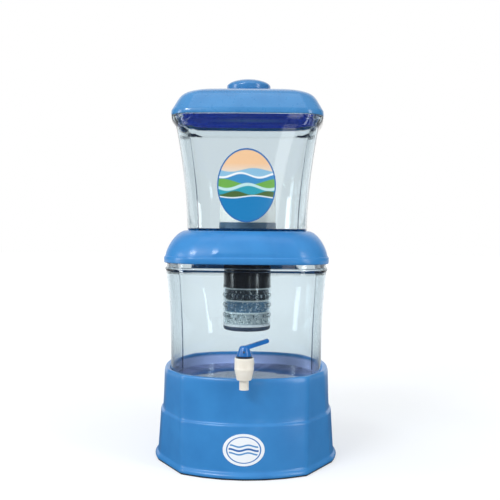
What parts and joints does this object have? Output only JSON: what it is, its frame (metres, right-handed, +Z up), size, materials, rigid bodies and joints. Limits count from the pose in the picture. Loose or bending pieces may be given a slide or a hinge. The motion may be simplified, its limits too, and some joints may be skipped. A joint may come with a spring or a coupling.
{
  "type": "gravity water filter with tap",
  "caption": "Free-standing gravity water filter: pedestal, two stacked clear tanks with blue covers, ceramic dome, media cartridge and a lever tap.",
  "frame": {"origin": "on the floor under the middle of the pedestal", "axes": "+Z up, the tap and the label face -Y, +X to the right seen from the front"},
  "size_m": [0.296, 0.3123, 0.611],
  "materials": {
    "blue_polypropylene": "glossy injection-moulded polypropylene",
    "pale_blue_polypropylene": "glossy injection-moulded polypropylene",
    "clear_styrene": "clear moulded styrene acrylonitrile",
    "ivory_plastic": "satin moulded acetal",
    "lever_plastic": "glossy moulded polypropylene",
    "black_plastic": "glossy moulded polypropylene",
    "slate_plastic": "satin moulded polypropylene",
    "dark_plastic": "satin moulded polypropylene",
    "white_plastic": "satin moulded polypropylene",
    "black_rubber": "moulded rubber",
    "silicone": "translucent silicone",
    "diatomite_ceramic": "fired porous ceramic",
    "steel": "drawn stainless steel",
    "printed_film": "printed gloss vinyl film",
    "badge_film": "printed gloss vinyl film",
    "fibre_pad": "pressed polyester fibre",
    "carbon": "pressed activated carbon",
    "mineral_grit": "washed mineral grit",
    "zeolite_grit": "washed zeolite grit",
    "silica_sand": "washed silica sand"
  },
  "bodies": {
    "base": {"base_shell": "blue_polypropylene", "foot_ring": "black_rubber", "front_badge": "badge_film"},
    "lower_tank": {"lower_tank": "clear_styrene", "tap_body": "ivory_plastic", "tap_bonnet": "dark_plastic", "tap_outer_washer": "black_rubber", "tap_inner_washer": "black_rubber", "tap_lock_nut": "ivory_plastic"},
    "tap_swivel": {"tap_swivel_washer": "black_rubber"},
    "tap_stem": {"tap_stem": "white_plastic", "tap_seat_cup": "silicone", "tap_spring": "steel", "lever_pin": "steel"},
    "tap_lever": {"tap_lever": "lever_plastic"},
    "middle_cover": {"middle_cover": "blue_polypropylene"},
    "upper_tank": {"upper_tank": "clear_styrene", "front_label": "printed_film", "ceramic_dome": "diatomite_ceramic", "ceramic_base": "slate_plastic", "dome_gasket": "black_rubber", "outlet_washer": "black_rubber", "outlet_nut": "slate_plastic", "cartridge_housing": "black_plastic", "carbon_block": "carbon", "cartridge_seal": "black_rubber", "cartridge_jar": "clear_styrene", "upper_pad": "fibre_pad", "mineral_bed": "mineral_grit", "middle_pad": "fibre_pad", "zeolite_bed": "zeolite_grit", "lower_pad": "fibre_pad", "silica_bed": "silica_sand", "outlet_screen": "white_plastic", "outlet_cup": "dark_plastic"},
    "top_lid": {"top_lid": "pale_blue_polypropylene", "knob_screw": "steel", "lid_knob": "pale_blue_polypropylene"}
  },
  "joints": [
    {"name": "lower_tank_lift", "type": "slide", "parent": "base", "child": "lower_tank", "axis": [0, 0, 1], "range_m": [0, 0.06]},
    {"name": "tap_turn", "type": "hinge", "parent": "lower_tank", "child": "tap_swivel", "pos_m": [0, -0.15, 0.1913], "axis": [0, 0, 1], "range_deg": [-220, 35]},
    {"name": "stem_lift", "type": "slide", "parent": "tap_swivel", "child": "tap_stem", "axis": [0, 0, 1], "range_m": [0, 0.004], "stiffness_N_per_m": 150, "springref_m": -0.001, "deforming": ["tap_spring"]},
    {"name": "lever_tilt", "type": "hinge", "parent": "tap_stem", "child": "tap_lever", "pos_m": [0, -0.15, 0.1913], "axis": [0, 1, 0], "range_deg": [0, 20.6]},
    {"name": "cover_lift", "type": "slide", "parent": "lower_tank", "child": "middle_cover", "axis": [0, 0, 1], "range_m": [0, 0.05]},
    {"name": "upper_tank_lift", "type": "slide", "parent": "middle_cover", "child": "upper_tank", "axis": [0, 0, 1], "range_m": [0, 0.2]},
    {"name": "lid_lift", "type": "slide", "parent": "upper_tank", "child": "top_lid", "axis": [0, 0, 1], "range_m": [0, 0.06]}
  ],
  "couplings": [
    {"joint": "lever_tilt", "follows": "stem_lift", "rad_per_m": 88}
  ]
}
